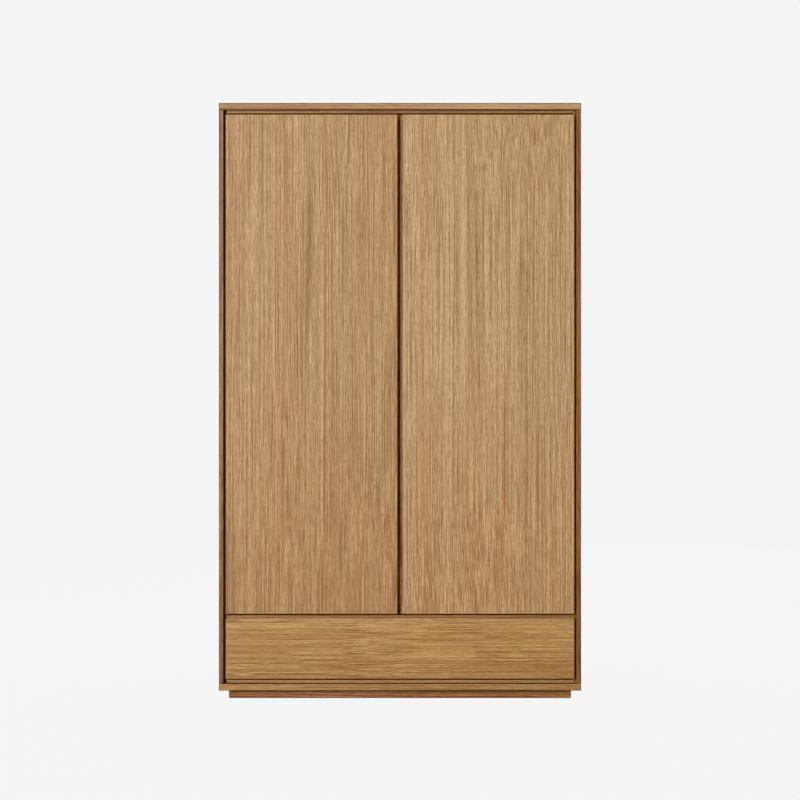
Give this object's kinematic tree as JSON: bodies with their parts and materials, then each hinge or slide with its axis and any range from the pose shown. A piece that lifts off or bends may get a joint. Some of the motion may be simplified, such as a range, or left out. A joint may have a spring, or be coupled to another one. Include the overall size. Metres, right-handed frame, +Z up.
{
  "type": "armoire",
  "caption": "Tall rectangular oak wardrobe with inset hinged doors over a full-width drawer on runners, recessed plinth, shelves and a hanging rail inside.",
  "frame": {"origin": "centre of the footprint, on the floor under the plinth", "axes": "+Z up along the height, -Y towards the front (doors and drawer), +X to the right seen from the front"},
  "size_m": [1.156, 0.6, 1.903],
  "materials": {
    "door_oak": "matt lacquered oak veneer, grain vertical",
    "drawer_front_oak": "matt lacquered oak veneer, grain across",
    "board_oak": "matt lacquered oak, grain along the length",
    "side_oak": "matt lacquered oak, solid front edges",
    "plinth_oak": "matt lacquered oak",
    "inner_oak": "matt oak veneer",
    "back_oak": "raw oak veneered board",
    "drawer_box_birch": "sanded birch plywood",
    "fitting_nickel": "nickel plated steel",
    "runner_zinc": "zinc plated steel",
    "rail_steel": "polished steel tube"
  },
  "bodies": {
    "case": {"top_panel": "board_oak", "bottom_panel": "board_oak", "side_panel_left": "side_oak", "side_panel_right": "side_oak", "centre_partition": "inner_oak", "deck_panel": "inner_oak", "top_rail": "side_oak", "bottom_rail": "side_oak", "back_panel_left": "back_oak", "back_panel_right": "back_oak", "plinth_front": "plinth_oak", "plinth_back": "plinth_oak", "plinth_left": "plinth_oak", "plinth_right": "plinth_oak", "hat_shelf": "inner_oak", "fixed_shelf": "inner_oak", "lower_shelf": "inner_oak", "upper_shelf": "inner_oak", "lower_pin_inner_front": "fitting_nickel", "lower_pin_inner_back": "fitting_nickel", "lower_pin_outer_front": "fitting_nickel", "lower_pin_outer_back": "fitting_nickel", "upper_pin_inner_front": "fitting_nickel", "upper_pin_inner_back": "fitting_nickel", "upper_pin_outer_front": "fitting_nickel", "upper_pin_outer_back": "fitting_nickel", "clothes_rail": "rail_steel", "rail_socket_left": "fitting_nickel", "rail_socket_right": "fitting_nickel", "hinge_arm_left_lower": "fitting_nickel", "hinge_plate_left_lower": "fitting_nickel", "hinge_arm_left_middle": "fitting_nickel", "hinge_plate_left_middle": "fitting_nickel", "hinge_arm_left_upper": "fitting_nickel", "hinge_plate_left_upper": "fitting_nickel", "hinge_arm_right_lower": "fitting_nickel", "hinge_plate_right_lower": "fitting_nickel", "hinge_arm_right_middle": "fitting_nickel", "hinge_plate_right_middle": "fitting_nickel", "hinge_arm_right_upper": "fitting_nickel", "hinge_plate_right_upper": "fitting_nickel", "runner_cabinet_left": "runner_zinc", "runner_cabinet_right": "runner_zinc"},
    "left_door": {"door_left": "door_oak", "hinge_cup_left_lower": "fitting_nickel", "hinge_cup_left_middle": "fitting_nickel", "hinge_cup_left_upper": "fitting_nickel"},
    "right_door": {"door_right": "door_oak", "hinge_cup_right_lower": "fitting_nickel", "hinge_cup_right_middle": "fitting_nickel", "hinge_cup_right_upper": "fitting_nickel"},
    "drawer": {"drawer_front": "drawer_front_oak", "drawer_side_left": "drawer_box_birch", "drawer_side_right": "drawer_box_birch", "drawer_back": "drawer_box_birch", "drawer_bottom": "drawer_box_birch", "runner_drawer_left": "runner_zinc", "runner_drawer_right": "runner_zinc"},
    "runner_middles": {"runner_middle_left": "runner_zinc", "runner_middle_right": "runner_zinc"}
  },
  "joints": [
    {"name": "left_door_swing", "type": "hinge", "parent": "case", "child": "left_door", "pos_m": [-0.5595, -0.297, 0.273], "axis": [0, 0, -1], "range_deg": [0, 110]},
    {"name": "right_door_swing", "type": "hinge", "parent": "case", "child": "right_door", "pos_m": [0.5595, -0.297, 0.273], "axis": [0, 0, 1], "range_deg": [0, 110]},
    {"name": "drawer_slide", "type": "slide", "parent": "case", "child": "drawer", "axis": [0, -1, 0], "range_m": [0, 0.45]},
    {"name": "runner_middle_slide", "type": "slide", "parent": "case", "child": "runner_middles", "axis": [0, -1, 0], "range_m": [0, 0.225]}
  ],
  "couplings": [
    {"joint": "runner_middle_slide", "follows": "drawer_slide", "ratio": 0.5}
  ]
}
